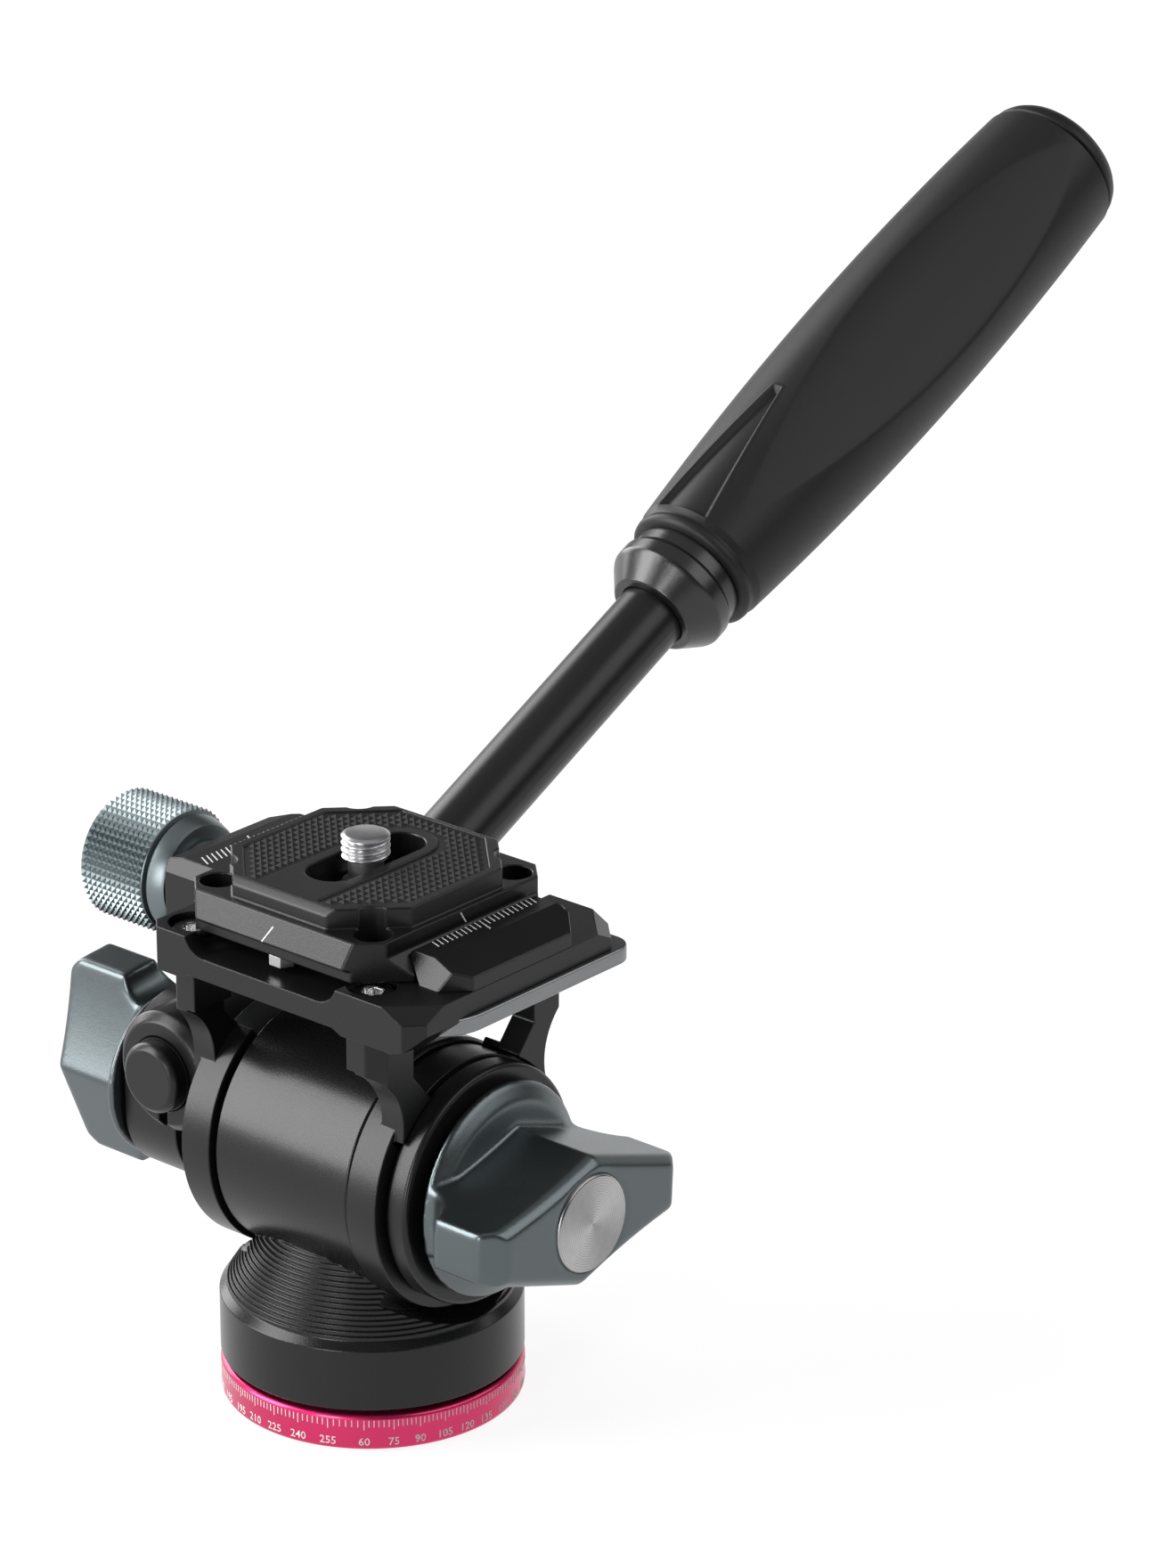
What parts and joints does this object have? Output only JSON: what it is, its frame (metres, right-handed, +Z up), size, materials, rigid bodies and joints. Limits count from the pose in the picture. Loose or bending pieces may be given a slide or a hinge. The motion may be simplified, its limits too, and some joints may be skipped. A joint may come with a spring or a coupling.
{
  "type": "fluid head",
  "caption": "Small video tripod fluid head: panning base with degree ring, tilting yoke, dovetail quick-release plate, wing lock knobs and a cranked handle with a long grip.",
  "frame": {"origin": "centre of the tripod face under the base", "axes": "+Z up along the pan axis; +X along the tilt axis towards the tilt lock knob; +Y towards the end of the handle"},
  "size_m": [0.0895, 0.2043, 0.1329],
  "materials": {
    "black_anodised": "fine satin black anodising",
    "black_housing": "satin black anodising, turned",
    "crimson_anodised": "satin crimson anodising with white engraving",
    "blue_grey_anodised": "bead-blasted blue-grey anodising",
    "bright_aluminium": "brushed natural aluminium",
    "steel": "bright turned steel",
    "bronze": "plain bearing bronze",
    "polymer": "plain bearing polymer",
    "black_bar": "satin black anodised bar",
    "grip_rubber": "soft matt moulded rubber",
    "pad_rubber": "studded rubber"
  },
  "bodies": {
    "base": {"tripod_base": "black_anodised", "scale_ring": "crimson_anodised", "pan_spindle": "steel", "pan_washer": "polymer", "spindle_clip": "steel"},
    "pan_body": {"pan_housing": "black_housing", "barrel_bushes": "bronze", "barrel_cap": "black_housing"},
    "pan_lock": {"pan_lock_grip": "blue_grey_anodised", "pan_lock_screw": "steel"},
    "yoke": {"left_arm": "black_anodised", "right_arm": "black_anodised", "platform": "black_anodised", "corner_screws": "steel", "fixed_jaw": "black_anodised", "jaw_screws": "steel", "side_bar": "bright_aluminium", "handle_clamp": "black_anodised", "drum_ring": "black_anodised", "tilt_shaft": "steel", "damping_rotor": "polymer"},
    "tilt_lock": {"tilt_wing": "blue_grey_anodised", "tilt_wing_cap": "bright_aluminium", "tilt_lock_screw": "steel"},
    "handle_lock": {"handle_wing": "blue_grey_anodised", "handle_wing_cap": "bright_aluminium", "handle_lock_screw": "steel"},
    "handle": {"handle_bar": "black_bar", "bar_plug": "black_bar", "grip_collar": "black_anodised", "grip": "grip_rubber", "grip_end_cap": "grip_rubber"},
    "jaw": {"moving_jaw": "black_anodised", "jaw_pins": "steel"},
    "qr_knob": {"qr_grip": "blue_grey_anodised", "qr_screw": "steel"},
    "plate": {"plate_body": "black_anodised", "plate_pads": "pad_rubber", "stop_screws": "steel"},
    "clip": {"screw_clip": "steel"},
    "camera_stud": {"camera_screw": "steel"}
  },
  "joints": [
    {"name": "pan", "type": "hinge", "parent": "base", "child": "pan_body", "pos_m": [0, 0, 0.01], "axis": [0, 0, 1], "continuous": true},
    {"name": "pan_lock_turn", "type": "hinge", "parent": "pan_body", "child": "pan_lock", "pos_m": [-0.00074, 0.02119, 0.00985], "axis": [-0.0349, 0.9994, 0], "range_deg": [0, 270]},
    {"name": "tilt", "type": "hinge", "parent": "pan_body", "child": "yoke", "pos_m": [0, 0, 0.0349], "axis": [1, 0, 0], "range_deg": [-75, 85]},
    {"name": "tilt_lock_turn", "type": "hinge", "parent": "yoke", "child": "tilt_lock", "pos_m": [0.022, 0, 0.0349], "axis": [1, 0, 0], "range_deg": [0, 180]},
    {"name": "handle_lock_turn", "type": "hinge", "parent": "yoke", "child": "handle_lock", "pos_m": [-0.036, 0, 0.034], "axis": [-1, 0, 0], "range_deg": [0, 180]},
    {"name": "handle_swing", "type": "hinge", "parent": "yoke", "child": "handle", "pos_m": [-0.0253, 0, 0.041], "axis": [0, 1, 0], "range_deg": [-90, 90]},
    {"name": "jaw_slide", "type": "slide", "parent": "yoke", "child": "jaw", "axis": [-1, 0, 0], "range_m": [0, 0.0028]},
    {"name": "qr_knob_turn", "type": "hinge", "parent": "jaw", "child": "qr_knob", "pos_m": [-0.03, 0, 0.06365], "axis": [-1, 0, 0], "range_deg": [0, 1441]},
    {"name": "plate_slide", "type": "slide", "parent": "yoke", "child": "plate", "axis": [0, 1, 0], "range_m": [-0.008, 0.008]},
    {"name": "stud_slide", "type": "slide", "parent": "plate", "child": "clip", "axis": [0, 1, 0], "range_m": [-0.0055, 0.0055]},
    {"name": "stud_turn", "type": "hinge", "parent": "clip", "child": "camera_stud", "pos_m": [0, 0, 0.072], "axis": [0, 0, 1], "continuous": true}
  ],
  "couplings": [
    {"joint": "qr_knob_turn", "follows": "jaw_slide", "rad_per_m": 8976}
  ]
}
